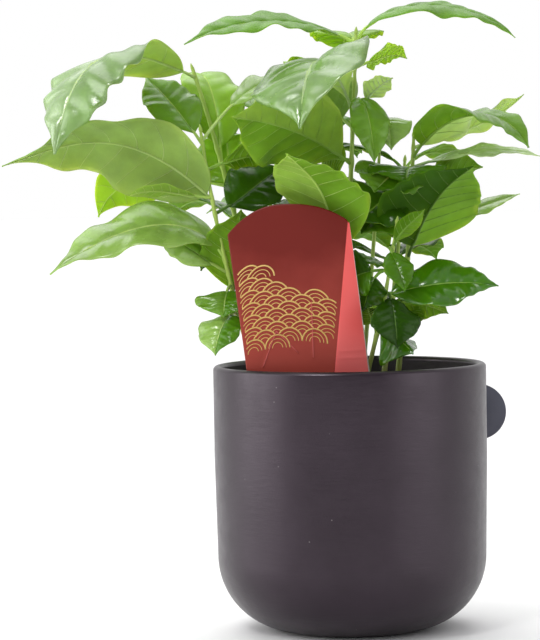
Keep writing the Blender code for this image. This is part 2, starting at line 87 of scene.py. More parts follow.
SEEN = {
    "left": (
        leaf(221, -175, 106, 19, 46, -16, 48, roll=44, twist=-50, full=0.62, late=0.26, peak=0.38, fold=-3,
             petiole=4, wave=0.13, phase=3.1),
        leaf(249, 133, 44, 37, 46, 34, 28, roll=-22),
        leaf(251, 10, 46, 31, 52, -5, 26, roll=20, petiole=34),
        leaf(191, -172, 89, -6, 62, -38, 46, roll=-26, full=0.42, peak=0.36),
        leaf(184, -165, 40, 18, 25, -12, 17, roll=-60, curl=0.5),
        leaf(214, 34, 42, 24, 22, 28, 32, roll=38),
        leaf(236, 18, 38, 6, 26, -16, 22, roll=-35),
        leaf(166, -60, 6, 50, 88, 60, 38, facing=-70),
        leaf(222, -158, 45, 2, 6, -20, 12, roll=24, twist=50),
        leaf(162, -120, 24, -19, 34, -86, 25),
        leaf(177, -104, 16, -15, 10, -88, 30),
        leaf(202, 118, 18, -13, 10, -80, 26, roll=20),
    ),
    "left_rear": (
        leaf(284, -142, 88, -39, 22, -78, 54, roll=8, twist=-80, full=0.50, late=0.64, peak=0.50, fold=-2,
             wave=0.06, phase=3.0),
        leaf(240, 108, 53, 42, 86, -40, 32, full=0.6, peak=0.4),
        leaf(247, 120, 42, 28, 60, 0, 28, roll=10, full=0.45),
        leaf(228, 170, 69, -15, 12, -72, 30, roll=55, full=0.5, peak=0.62),
        leaf(218, 95, 20, 40, 84, 30, 38, facing=80),
    ),
    "centre": (
        leaf(300, -156, 95, -1, 26, -26, 30, roll=-18),
        leaf(300, -10, 82, 1, 66, -44, 30, roll=12, curl=0.3),
        leaf(264, -112, 76, -9, 72, -80, 64, roll=15, full=0.66, late=0.42, turn=-60, peak=0.6),
        leaf(297, 98, 46, 0, 54, -46, 38, wave=0.03),
        leaf(280, 136, 52, 10, 46, 0, 28, roll=10),
        leaf(288, 33, 33, 5, 12, -26, 21, roll=-32, peak=0.34),
        leaf(266, -24, 22, 16, 36, 20, 18, roll=-24),
        leaf(268, -72, 30, -30, 40, -88, 20, full=0.5),
        leaf(238, -140, 79, 24, 32, 4, 48, roll=50, wave=0.16),
        leaf(257, 136, 37, 16, 30, -10, 42, roll=-40),
        leaf(240, 178, 15, -1, 20, -40, 24, roll=55, petiole=3),
    ),
    "centre_rear": (
        leaf(256, -82, 30, -11, 44, -85, 24, full=0.55),
    ),
    "right_front": (
        leaf(196, -30, 18, 19, 70, 46, 10, roll=-50, petiole=3),
        leaf(194, -76, 20, -20, 44, -82, 15, turn=-60),
        leaf(172, -4, 57, 4, 14, -10, 32, roll=42, peak=0.46, petiole=3),
        leaf(166, 10, 34, -4, 30, -26, 20, roll=-46, peak=0.66, petiole=3),
        leaf(173, -76, 20, -27, 10, -84, 26, roll=-8, peak=0.54),
        leaf(184, -160, 15, -20, 16, -70, 28, roll=-20),
        leaf(184, 176, 22, -4, 10, -20, 26, roll=-62),
        leaf(163, 42, 20, -10, 20, -50, 28, roll=-20),
        leaf(154, -42, 23, -11, 0, -44, 23, roll=27, fold=-36, peak=0.5, petiole=2),
        leaf(152, -150, 5, 14, 70, 60, 18, facing=-100),
    ),
    "right": (
        leaf(241, -18, 61, 4, 50, -66, 44, roll=-4, twist=84, full=0.64, late=0.40, turn=-30, arrive=10,
             peak=0.40),
        leaf(246, 27, 67, 28, 20, 40, 28, roll=-30, peak=0.60),
        leaf(236, -13, 66, 5, 20, -14, 21, roll=16),
        leaf(189, -46, 46, 47, 60, 24, 61, roll=-12, turn=-10, peak=0.41, full=0.48, petiole=8, wave=0.03),
        leaf(236, -128, 34, -12, 4, -30, 38, roll=-22),
        leaf(219, 8, 38, 17, 24, 0, 30, roll=-40),
        leaf(221, -138, 36, -18, 0, -34, 38, roll=-30),
        leaf(224, -138, 40, -16, 4, -30, 36, roll=-34),
        leaf(233, -100, 28, -5, 30, -50, 40),
        leaf(203, 20, 63, 19, 16, 16, 16, roll=20, peak=0.58),
    ),
    "rear_left": (),
    "rear_right": (),
    "rear": (),
    "front": (
        leaf(186, -113, 62, 57, 86, 20, 48, roll=-6, full=0.50, late=0.40, peak=0.42, wave=0.05, phase=2.0),
        leaf(202, 170, 38, 12, 20, -36, 24, roll=-20),
    ),
}

HIDDEN = {
    "rear_left": (150, ((262, 62), (238, 90), (214, 100), (190, 94), (166, 78))),
    "rear_right": (20, ((234, 76), (208, 98), (184, 90), (160, 72))),
    "rear": (70, ((242, 60), (218, 88), (194, 96), (170, 80))),
    "centre_rear": (105, ((238, 66), (212, 84), (186, 88), (158, 66))),
    "left_rear": (70, ((262, 66), (206, 90), (180, 86), (154, 64))),
    "centre": (80, ((212, 84), (186, 78), (160, 64))),
    "left": (60, ((200, 74),)),
    "right": (75, ((206, 84), (180, 76), (154, 64))),
    "front": (200, ((182, 56), (158, 48))),
}
TRIES = ((0, 1.0), (28, 0.95), (-28, 0.95), (50, 0.85), (-50, 0.85), (0, 0.7), (30, 0.66), (-30, 0.66))
BANDS = ((0, 160, -62, 34), (160, 178, -62, 48), (178, 205, -100, 58), (205, 250, -100, 72),
         (250, 400, -80, 26))
SEED = 1


def direction(azimuth, elevation):
    """Unit vector from two angles in degrees."""
    a, e = math.radians(azimuth), math.radians(elevation)
    return np.array([math.cos(e) * math.cos(a), math.cos(e) * math.sin(a), math.sin(e)])


def on_stem(name, z):
    """Point of a seedling's stem at height z, on the parabola through its three named points."""
    points = SEEDLINGS[name][:3]
    place = np.zeros(3)
    for i, point in enumerate(points):
        share = 1.0
        for j, other in enumerate(points):
            if j != i:
                share *= (z - other[2]) / (point[2] - other[2])
        place += share * np.array(point, float)
    place[2] = z
    return place


def stem_radius(name, z):
    """The radius tapers towards the tip and flares over the first few millimetres."""
    top, foot_radius = SEEDLINGS[name][2][2], SEEDLINGS[name][3]
    share = (z - SOIL_LEVEL) / (top - SOIL_LEVEL)
    return foot_radius * (1.0 - STEM_TAPER * share) + FLARE * math.exp(-(z - SOIL_LEVEL) / FLARE_FADE)


def along_curve(x, share, values):
    """Points or axes at shares x of a curve that is known at its own shares."""
    return np.stack([np.interp(x, share, values[:, k]) for k in range(3)], 1)


def tangents(points):
    """Unit directions along a row of points."""
    along = np.gradient(points, axis=0)
    return along / np.linalg.norm(along, axis=1)[:, None]


def midrib(name, spec):
    """Stations along a leaf's midrib at equal steps: share, point, side axis, upper axis; and its length."""
    base = on_stem(name, spec["node"])
    tip = base + direction(spec["heading"], 0) * spec["reach"] + np.array([0, 0, spec["lift"]])
    span = np.linalg.norm(tip - base)
    facing = spec["heading"] if spec["facing"] is None else spec["facing"]
    left = direction(facing + 90, 0)
    leave = base + direction(facing + spec["turn"], spec["rise"]) * span * spec["full"]
    reach = tip - direction(facing + spec["arrive"], spec["fall"]) * span * spec["late"]
    t = np.linspace(0, 1, 4 * MIDRIB_STEPS + 1)[:, None]
    curve = base * (1 - t) ** 3 + 3 * leave * t * (1 - t) ** 2 + 3 * reach * t * t * (1 - t) + tip * t ** 3
    travel = np.concatenate([[0], np.cumsum(np.linalg.norm(np.diff(curve, axis=0), axis=1))])
    share = np.linspace(0, 1, MIDRIB_STEPS + 1)
    point = along_curve(share * travel[-1], travel, curve)
    along = tangents(point)
    side = left[None, :] - (along @ left)[:, None] * along
    side /= np.linalg.norm(side, axis=1)[:, None]
    upper = np.cross(along, side)
    roll = np.radians(spec["roll"] + spec["twist"] * (share - 0.5))[:, None]
    return (share, point, side * np.cos(roll) + upper * np.sin(roll),
            upper * np.cos(roll) - side * np.sin(roll), travel[-1])


def outline(share, peak):
    """Half-width of a coffee leaf as a share of its greatest: wedge-shaped base, drip tip at the end."""
    body = np.sin(math.pi * np.clip(share / 0.98, 0, 1) ** (math.log(0.5) / math.log(peak))) ** 0.9
    drip = np.clip((share - 0.78) / 0.22, 0, 1)
    return body * (1 - 0.55 * drip) + 0.03


def half_width(spec, s):
    """Half of a blade's width at shares s of its length."""
    return outline(s, spec["peak"]) * spec["width"] / 2


def stalk_share(spec, length):
    """Share of a leaf's length that is bare stalk."""
    return min(spec["petiole"] / length, 0.4)


def stations(name, spec, s):
    """Points, side axes and upper axes of a leaf's blade at shares s of it, and the leaf's length."""
    share, *curves, length = midrib(name, spec)
    start = stalk_share(spec, length)
    return (*(along_curve(start + (1 - start) * s, share, values) for values in curves), length)


def bend(spec, s, across):
    """How far a blade's points lie above its midrib: a folded, curled and wavy half on either side."""
    half = half_width(spec, s)[:, None]
    out = np.abs(across)[None, :]
    shift = np.where(across < 0, 1.9, 0.0)[None, :]
    lift = half * (math.tan(math.radians(spec["fold"])) * out - spec["curl"] * out * out)
    waves = np.sin(2 * math.pi * spec["ripples"] * s[:, None] + spec["phase"] + shift)
    return lift + spec["wave"] * spec["width"] / 2 * out * out * waves * np.sin(math.pi * s)[:, None]


def spread(point, side, upper, half, across, lift):
    """Points of a blade: across its width at each station, and lifted off its midrib."""
    return (point[:, None, :] + side[:, None, :] * (half[:, None] * across[None, :])[:, :, None]
            + upper[:, None, :] * lift[:, :, None])


def blade(name, spec, steps, halves):
    """Points of a leaf's blade, steps + 1 stations by 2 * halves + 1 across."""
    s = np.linspace(0, 1, steps + 1)
    across = np.linspace(-1, 1, 2 * halves + 1)
    point, side, upper, _ = stations(name, spec, s)
    return spread(point, side, upper, half_width(spec, s), across, bend(spec, s, across))


def hidden_leaf(name, node, azimuth, size, draw):
    """A leaf by rule: posture from its height in the crown and from a seeded draw."""
    share = (node - SOIL_LEVEL) / 150.0
    reach = size * draw.uniform(0.86, 1.1)
    lift = reach * (draw.uniform(-0.10, 0.16) + 0.25 * (share - 0.55))
    heading = azimuth + draw.uniform(-14, 14)
    return leaf(node, heading, reach, lift, 30 + 34 * share + draw.uniform(-8, 8), -34 - 30 * draw.random(),
                reach * draw.uniform(0.44, 0.52), roll=draw.uniform(-22, 22), twist=draw.uniform(-25, 25),
                turn=draw.uniform(-18, 18), curl=draw.uniform(0.1, 0.3), wave=draw.uniform(0.06, 0.14),
                phase=draw.uniform(0, 6))


def nearest(points, others):
    """Least distance between two sets of points."""
    least = 1e9
    for start in range(0, len(points), 64):
        gaps = points[start:start + 64, None, :] - others[None, :, :]
        least = min(least, float((gaps * gaps).sum(2).min()))
    return math.sqrt(least)


def finds_room(name, spec, points, leaves, stems):
    """Whether a leaf keeps inside the crown and clear of the leaves, stems, rim and label."""
    x, y, z = points.T
    if z.min() < POT_HEIGHT + 5 or np.hypot(x, y).max() > CROWN_RADIUS:
        return False
    if np.any((y < -24) & (z < CARD_CREST + 3) & (x > -66) & (x < 16)):
        return False
    for low, high, least, most in BANDS:
        if np.any((z >= low) & (z < high) & ((x < least) | (x > most))):
            return False
    base = on_stem(name, spec["node"])
    away = points[np.linalg.norm(points - base, axis=1) > 8]
    for other in leaves:
        apart = np.any(away.max(0) + LEAF_GAP < other.min(0)) or np.any(other.max(0) + LEAF_GAP < away.min(0))
        if not apart and nearest(away, other) < LEAF_GAP:
            return False
    for owner, stem in stems.items():
        if nearest(away if owner == name else points, stem) < LEAF_GAP + 0.6:
            return False
    return True


def grow():
    """All leaves by seedling: those seen, then those of the rule that find room."""
    draw = random.Random(SEED)
    crown = {name: list(SEEN[name]) for name in SEEDLINGS}
    leaves = [blade(name, spec, 24, 3).reshape(-1, 3) for name in SEEDLINGS for spec in crown[name]]
    stems = {name: np.array([on_stem(name, z) for z in np.linspace(SOIL_LEVEL, SEEDLINGS[name][2][2], 50)])
             for name in SEEDLINGS}
    for name, (azimuth, nodes) in HIDDEN.items():
        for pair, (node, size) in enumerate(nodes):
            for side in (0, 180):
                for turn, smaller in TRIES:
                    spec = hidden_leaf(name, node, azimuth + 90 * pair + side + turn, size * smaller, draw)
                    points = blade(name, spec, 24, 3).reshape(-1, 3)
                    if finds_room(name, spec, points, leaves, stems):
                        crown[name].append(spec)
                        leaves.append(points)
                        break
    return crown


# Pot, card and tag, as in the part's source.
TOUCH = 0.3
FOOT_RADIUS = 31.0
FILLET = 38.0
WALL = 4.5
CARD_THICK = 0.6
CARD_TOP_WIDTH = 60.0
CARD_RIM_WIDTH = 43.5
CARD_RIM_X = -30.5
CARD_RIM_Y = -39.5
CARD_SLANT = 0.16
CARD_CREST_X = -30.9
CARD_LEAN_BACK = 4.0
CARD_SHOULDERS = (15.0, 8.5)
FLAP_RIM_WIDTH = 19.5
FLAP_FOLD = 28.0
TAG_RADIUS = 14.8
TAG_THICK = 0.8
TAG_HEIGHT = 106.6
TAG_ANGLE = 38.4
TAG_TAB = (16.0, 9.0)
TAG_OVERLAP = 1.2
TAG_INSET = 0.2         # the tag is set this much closer than the rim's radius

# Sizes of what the looks add.
TURN_STEPS = 192        # faces round the pot
SOIL_RINGS = 30
SOIL_SPOKES = 120
SOIL_SKIRT = 6.0        # depth of the soil's own edge
CRUMBS = 700
CRUMB_SIZES = (0.7, 2.3)   # least and greatest, as a radius
CRUMB_SEED = 11
LOOKS_SEED = 7          # for the leaves' relief and the tones of those that don't show
FINE_STEPS = 72         # faces along a leaf
FINE_HALVES = 9         # faces across one half of it
LEAF_SHEET = 0.45       # thickness of a leaf's sheet
VEIN_PAIRS = 8          # lateral veins on either side of the midrib
VEIN_FORWARD = 0.62     # how far a lateral vein runs towards the tip, per millimetre outward
VEIN_CURVE = 1.4        # power of that run, so that veins curve
VEIN_WIDTH = 0.13       # width of the valley over a vein, as a share of the distance between two
MIDRIB_STRIP = 0.03     # share of a half's width that the midrib's strip takes
QUILT = (0.011, 0.018)  # least and greatest height of the bulges between veins, as a share of the width
FRILL = (0.009, 0.023)  # the same for the margin's small waves
FRILL_RATE = 0.68       # waves of the margin for each lateral vein
RIBBED = 1.8            # how much more the leaves of these upper tones bulge and wave
RIBBED_TONES = ("glossy", "silver", "satin")
GROOVE = 0.45           # depth of the midrib's groove
GROOVE_WIDTH = 1.1      # how far it fades out on either side
RIB_RADIUS = 0.75       # midrib at the blade's base
RIB_TIP_RADIUS = 0.22
RIB_SINK = 0.42         # the rib's centre lies this far below the sheet
LATERAL_RADIUS = 0.24
LATERAL_STEPS = 8
STALK_RADIUS = 1.0
TUBE_END = 0.02         # radius at a tube's ends
BUD_RADII = (0.8, 1.0, 0.9, 0.6, 0.2)
BUD_HEIGHT = 3.5
SCALE_RADIUS = 6.6      # outer arc of one scale of the card's ornament
SCALE_RINGS = ((1.0, 0.40), (0.70, 0.22), (0.42, 0.22))   # each arc's share of that radius, and its line
SCALE_STEPS = 29
ORNAMENT_HALF = 24.5    # half of the panel's mean width, as the ornament's unit across
ORNAMENT_EDGE = 23.3    # the lines keep within this on either side
ORNAMENT_FOOT = 137.0   # height of the lowest row
ORNAMENT_ROWS = 20
FIELD_TOP = (175.0, 21.0, 17.0)   # height of the field's top, its rise at the left and that rise's width
FIELD_FOOT = (146.0, 0.16)        # height of the field's foot at the left, and its slope
CARD_COLUMNS = 90       # faces across the front panel
CARD_ROWS = 140
CREASES = (((-0.62, 0.20), (-0.28, 0.37)), ((-0.28, 0.37), (0.18, 0.26)), ((0.44, 0.52), (0.52, 0.24)))
CREASE_DEPTH = 0.22
CREASE_WIDTH = 0.6
CREASE_LINE = 0.25      # radius of the worn line along it
FLAP_CREASES = (0.25, 0.29)

# Leaf tones: base colours in thousandths of the upper side, the underside and the veins, then the upper
# side's roughness and specular level.
TONES = {
    # painted shade: the darkest green, for leaves and halves of leaves deep in the crown's shade
    "black": ((16, 55, 1), (28, 90, 2), (75, 160, 20), 0.22, 0.12),
    # dark green, which also serves as painted shade for leaves and halves of leaves in the crown's shade
    "deep": ((28, 92, 2), (72, 185, 4), (140, 270, 30), 0.20, 0.16),
    "mid": ((66, 185, 4), (135, 285, 18), (230, 390, 60), 0.20, 0.20),
    "lacquer": ((46, 168, 2), (110, 240, 10), (200, 360, 50), 0.17, 0.55),
    "olive": ((140, 290, 30), (200, 310, 75), (340, 470, 150), 0.22, 0.25),
    "fresh": ((140, 300, 22), (220, 370, 50), (340, 500, 110), 0.22, 0.28),
    # painted backlight: a light yellow-green on both sides that stands for the glow of leaves lit from behind
    "bright": ((240, 460, 22), (280, 500, 30), (420, 620, 110), 0.28, 0.30),
    "satin": ((138, 305, 34), (280, 500, 30), (360, 540, 120), 0.28, 0.12),
    "vivid": ((200, 390, 20), (410, 690, 60), (500, 740, 120), 0.28, 0.20),
    # painted glare: a whitish grey-green base colour on both sides that stands for a strong white sheen on a
    # glossy leaf
    "frosted": ((390, 540, 230), (400, 530, 230), (460, 600, 300), 0.28, 0.60),
    "pale": ((245, 410, 80), (310, 460, 110), (450, 600, 210), 0.24, 0.45),
    "glossy": ((138, 272, 46), (310, 460, 110), (400, 540, 260), 0.29, 1.00),
    # painted sheen: a pale base colour that stands for the white reflection of the surroundings on glossy
    # tops, with a much lighter underside as painted light let through; its high gloss is real
    "silver": ((250, 390, 150), (490, 700, 235), (460, 600, 300), 0.22, 1.00),
}
# Tones of the leaves that show: upper side | underside, each the same on both halves or right / left. Where
# the halves differ, their tones paint one half lit and the other in shade.
SEEN_TONES = {
    "left": ("fresh|olive", "fresh", "pale", "pale|fresh", "fresh/pale", "black/deep", "mid|mid/deep",
             "fresh|mid", "deep|fresh", "pale/mid", "fresh/mid", "mid"),
    "left_rear": ("silver/glossy|pale", "bright", "bright", "bright", "bright"),
    "centre": ("satin|bright", "satin|bright", "glossy|silver", "vivid|bright", "bright", "vivid",
               "fresh|silver", "fresh", "mid|mid/fresh", "pale/mid", "mid"),
    "centre_rear": ("pale",),
    "right_front": ("mid|deep/mid", "mid", "lacquer", "deep|mid", "black", "deep/black", "deep/mid",
                    "deep|deep", "lacquer", "mid|mid/black"),
    "right": ("fresh|mid/silver", "fresh|pale", "frosted", "mid|black/mid", "fresh/mid", "mid|mid",
              "deep/mid", "mid/deep", "mid", "pale"),
    "front": ("mid|fresh/mid", "deep"),
}
# Tones of the others: those of the crown's top, and those below this height, in its shade.
HIDDEN_TONES = ("mid", "deep", "mid", "deep", "fresh", "mid")
SHADED_TONES = ("deep", "mid", "deep", "black")
SHADE_HEIGHT = 200.0

# Printed card: roughness, then colours over a height that goes from 0 at the pot's rim to 1 at the crest.
PAPERS = {
    "card_dark_red": (0.42, (0.15, (0.33, 0.042, 0.026)), (0.72, (0.23, 0.024, 0.015)),
                      (1.0, (0.14, 0.0065, 0.0022))),
    # the flap is lighter towards its foot: painted light against the shade it gets next to the pot
    "card_coral": (0.45, (0.2, (0.97, 0.160, 0.150)), (0.9, (0.84, 0.100, 0.094))),
    "card_cut_edge": (0.7, (0.0, (0.62, 0.52, 0.46)), (1.0, (0.70, 0.60, 0.55))),
    "card_back": (0.5, (0.0, (0.24, 0.026, 0.028)), (1.0, (0.20, 0.022, 0.026))),
    "card_gold": (0.38, (0.0, (0.52, 0.33, 0.085)), (0.6, (0.64, 0.43, 0.13)), (1.0, (0.70, 0.49, 0.17))),
    "card_crease": (0.5, (0.0, (0.52, 0.100, 0.090)), (1.0, (0.46, 0.080, 0.070))),
}

CAMERA_PLACE = (-40.4, -1400.0, 222.0)
CAMERA_TARGET = (-40.4, 0.0, 159.0)
CAMERA_ROLL = -0.92
CAMERA_LENS = 153.6
# Soft panels of light, in metres and watts: place, height faced, size, power, and what each is hidden from.
PANELS = {
    "front_fill": ((-0.5, -1.6, 0.9), 0.2, (1.2, 1.2), 7.0, "visible_glossy"),
    "side_panel": ((-1.3, -0.15, 0.35), 0.15, (1.1, 1.1), 8.0, None),
    "left_gloss": ((-1.25, -0.2, 0.35), 0.15, (1.0, 1.2), 5.0, "visible_diffuse"),
    "window": ((-0.7, -1.1, 1.5), 0.2, (0.35, 0.5), 6.0, None),
    "right_panel": ((1.15, -0.75, 0.35), 0.2, (1.0, 1.2), 8.0, "visible_diffuse"),
    "window_glint": ((-0.75, -1.1, 1.45), 0.2, (0.35, 0.6), 14.0, "visible_diffuse"),
}


def tone_numbers(look):
    """Material numbers of a leaf: its faces upper right, upper left, lower right and lower left, then its
    veins and the midrib's strip on the upper side."""
    names = list(TONES)
    upper, _, lower = look.partition("|")
    numbers = []
    for side, words in enumerate((upper, lower or upper)):
        first, _, second = words.partition("/")
        numbers += [3 * names.index(first) + side, 3 * names.index(second or first) + side]
    return numbers + [3 * (numbers[2] // 3) + 2, 3 * (numbers[0] // 3) + 2]


def declare(piece, node=None):
    """Hide the CAD node that a piece replaces, if any, then attach the piece to its body."""
    if node:
        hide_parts(node)
    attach(piece, "root")


def placed(name, data):
    """A new object in the scene."""
    made = bpy.data.objects.new(name, data)
    bpy.context.scene.collection.objects.link(made)
    return made


def smooth_mesh(name, points, faces, surfaces, tones):
    """A smooth-shaded object from points in millimetres, and faces with their material numbers."""
    mesh = bpy.data.meshes.new(name)
    mesh.from_pydata((points * MM).tolist(), [], faces)
    for surface in surfaces:
        mesh.materials.append(surface)
    mesh.polygons.foreach_set("material_index", tones.astype(np.int32))
    mesh.polygons.foreach_set("use_smooth", np.ones(len(faces), bool))
    mesh.update()
    return placed(name, mesh)


def from_bmesh(name, bm, surface):
    """An object of one material from a finished bmesh, which is freed."""
    mesh = bpy.data.meshes.new(name)
    bm.to_mesh(mesh)
    bm.free()
    mesh.materials.append(surface)
    return placed(name, mesh)


class Sheet:
    """Vertices and faces of one piece, gathered part by part, with a material number for each face."""

    def __init__(self):
        self.points = []
        self.faces = []
        self.tones = []
        self.count = 0

    def add(self, points, faces, tone):
        self.points.append(points)
        self.faces.append(faces + self.count)
        self.tones.append(np.broadcast_to(tone, len(faces)))
        self.count += len(points)

    def make(self, name, surfaces):
        """The gathered mesh as an object."""
        return smooth_mesh(name, np.concatenate(self.points), np.concatenate(self.faces).tolist(), surfaces,
                           np.concatenate(self.tones))


def grid_faces(rows, columns, closed=False):
    """Quads of a grid of points, rows by columns; closed joins the last column to the first."""
    index = np.arange(rows * columns).reshape(rows, columns)
    a, b = index, np.roll(index, -1, 1)
    if not closed:
        a, b = a[:, :-1], b[:, :-1]
    return np.stack([a[:-1], b[:-1], b[1:], a[1:]], -1).reshape(-1, 4)


def tube(sheet, centres, sides, uppers, radii, count, tone):
    """A closed tapering tube along stations, with an even count of sides, drawn together at its ends."""
    turn = np.linspace(0, 2 * math.pi, count, endpoint=False)[None, :, None]
    radii = np.concatenate([[TUBE_END], radii, [TUBE_END]])
    centres, sides, uppers = (np.concatenate([v[:1], v, v[-1:]]) for v in (centres, sides, uppers))
    ring = np.cos(turn) * sides[:, None, :] + np.sin(turn) * uppers[:, None, :]
    points = centres[:, None, :] + ring * radii[:, None, None]
    caps = np.array([[k, k + 1, count - 2 - k, count - 1 - k] for k in range(count // 2 - 1)])
    quads = grid_faces(len(centres), count, closed=True)
    faces = np.concatenate([quads, caps[:, ::-1], caps + (len(centres) - 1) * count])
    sheet.add(points.reshape(-1, 3), faces, tone)


def vein_lead(spec, s, out, length):
    """How far a lateral vein has run towards the tip where it is this far out, as a share of the length."""
    return VEIN_FORWARD * half_width(spec, s) * out ** VEIN_CURVE / length


def relief(spec, s, across, length, quilt, frill, shift):
    """Height of the blade's own relief: quilted between its lateral veins, frilled along the margin and
    grooved over the midrib."""
    s = s[:, None]
    out = np.abs(across)[None, :]
    offset = np.where(across < 0, 0.5, 0.0)[None, :]
    phase = (s - vein_lead(spec, s, out, length)) * VEIN_PAIRS + offset
    gap = np.abs(phase - np.round(phase))
    bulge = 0.45 * (1 - np.exp(-(gap / VEIN_WIDTH) ** 2)) + 0.55 * np.sin(math.pi * gap) ** 2
    uneven = 1 + 0.35 * np.sin(5.1 * phase + shift)
    fade = np.sin(math.pi * np.clip(out, 0, 1) ** 0.8) ** 0.7 * np.sin(math.pi * s) ** 0.5
    groove = np.exp(-(out * half_width(spec, s) / GROOVE_WIDTH) ** 2)
    waves = np.sin(2 * math.pi * FRILL_RATE * phase + 1.6 * np.sin(6.3 * s + shift) + shift)
    margin = out ** 3 * waves * np.sin(math.pi * s) ** 0.6
    return spec["width"] * (quilt * bulge * uneven * fade + frill * margin) - GROOVE * groove


def closed_sheet(middle, thick):
    """A thin closed sheet round a grid of middle points: its points; its faces, first the front's, then as
    many of the back and those of the rim; how many the front has; and the grid's normals."""
    normal = np.cross(np.gradient(middle, axis=0), np.gradient(middle, axis=1))
    normal /= np.linalg.norm(normal, axis=2)[:, :, None]
    rows, columns = middle.shape[:2]
    front = (middle + normal * thick / 2).reshape(-1, 3)
    back = (middle - normal * thick / 2).reshape(-1, 3)
    quads = grid_faces(rows, columns)[:, ::-1]
    count = rows * columns
    index = np.arange(count).reshape(rows, columns)
    edge = np.concatenate([index[0, :-1], index[:-1, -1], index[-1, :0:-1], index[:0:-1, 0]])
    following = np.roll(edge, -1)
    rim = np.stack([edge, following, following + count, edge + count], -1)
    faces = np.concatenate([quads, quads[:, ::-1] + count, rim])
    return np.concatenate([front, back]), faces, len(quads), normal


def fine_leaf(sheet, name, spec, tone, bulging, draw):
    """A leaf as a thin closed sheet with its relief; its upper side and underside have their own tones."""
    s = np.linspace(0, 1, FINE_STEPS + 1)
    right = np.concatenate([[MIDRIB_STRIP], np.linspace(0, 1, FINE_HALVES)[1:]])
    across = np.concatenate([-right[::-1], [0.0], right])
    point, side, upper, length = stations(name, spec, s)
    quilt, frill, shift = bulging * draw.uniform(*QUILT), bulging * draw.uniform(*FRILL), draw.uniform(0, 6)
    lift = bend(spec, s, across) + relief(spec, s, across, length, quilt, frill, shift)
    middle = spread(point, side, upper, half_width(spec, s), across, lift)
    thick = LEAF_SHEET * (1 - 0.6 * np.abs(across) ** 6)[None, :, None]
    points, faces, fronts, normal = closed_sheet(middle, thick)
    station, column = np.divmod(np.arange(fronts), 2 * FINE_HALVES)
    left = column >= FINE_HALVES
    strip = (np.abs(column - FINE_HALVES + 0.5) < 1) & (station < 0.85 * FINE_STEPS)
    # Each half takes its own tone; where the two differ, they paint light on one half and shade on the other.
    top = np.where(strip, tone[5], np.where(left, tone[1], tone[0]))
    tones = np.concatenate([top, np.where(left, tone[3], tone[2]), np.full(len(faces) - 2 * fronts, tone[2])])
    sheet.add(points, faces, tones)
    return across, middle, normal, length


def rib_and_stalk(sheet, name, spec, tone):
    """Petiole and midrib: one tapering tube from inside the stem to the leaf's tip."""
    share, *curves, length = midrib(name, spec)
    start = stalk_share(spec, length)
    s = np.concatenate([np.linspace(0, start, 6), start + (1 - start) * np.linspace(0.03, 0.97, 30)])
    centre, sides, uppers = (along_curve(s, share, values) for values in curves)
    on_blade = np.clip((s - start) / (1 - start), 0, 1)
    radii = np.where(s <= start, STALK_RADIUS + (RIB_RADIUS - STALK_RADIUS) * s / start,
                     RIB_RADIUS + (RIB_TIP_RADIUS - RIB_RADIUS) * on_blade ** 0.8)
    sink = (GROOVE + RIB_SINK * radii / RIB_RADIUS) * np.clip(on_blade / 0.06, 0, 1)
    tube(sheet, centre - uppers * sink[:, None], sides, uppers, radii, 8, tone)


def on_grid(values, row, column):
    """Values of a grid read off between its points, at fractional rows and columns."""
    i = np.clip(row.astype(int), 0, values.shape[0] - 2)
    j = np.clip(column.astype(int), 0, values.shape[1] - 2)
    u, v = (row - i)[:, None], (column - j)[:, None]
    return ((values[i, j] * (1 - v) + values[i, j + 1] * v) * (1 - u)
            + (values[i + 1, j] * (1 - v) + values[i + 1, j + 1] * v) * u)


def laterals(sheet, spec, across, middle, normal, length, tone):
    """The lateral veins, thin tubes that stand out of the underside."""
    out = np.linspace(0.03, 0.9, LATERAL_STEPS)
    radii = LATERAL_RADIUS * np.linspace(1.0, 0.45, LATERAL_STEPS)
    for sign, offset in ((-1, 0.5), (1, 0.0)):
        column = np.interp(sign * out, across, np.arange(len(across)))
        for number in range(1, VEIN_PAIRS + 1):
            root = (number - offset) / VEIN_PAIRS
            at = np.full(LATERAL_STEPS, root)
            for _ in range(6):
                at = root + vein_lead(spec, at, out, length)
            if at[-1] > 0.97:
                continue
            row = at * FINE_STEPS
            place, upright = on_grid(middle, row, column), on_grid(normal, row, column)
            beside = np.cross(tangents(place), upright)
            tube(sheet, place - upright * LEAF_SHEET / 2, beside, upright, radii, 4, tone)


def dress_seedling(name, specs, looks, surfaces, draw):
    """One seedling's leaves, which stand for its mass, then its stalks, ribs and veins."""
    leaves, ribs = Sheet(), Sheet()
    for spec, look in zip(specs, looks):
        tone = tone_numbers(look)
        bulging = RIBBED if look.startswith(RIBBED_TONES) else 1.0
        across, middle, normal, length = fine_leaf(leaves, name, spec, tone, bulging, draw)
        rib_and_stalk(ribs, name, spec, tone[4])
        laterals(ribs, spec, across, middle, normal, length, tone[4])
    declare(leaves.make("leaves_" + name, surfaces), "foliage_" + name)
    declare(ribs.make("ribs_" + name, surfaces))


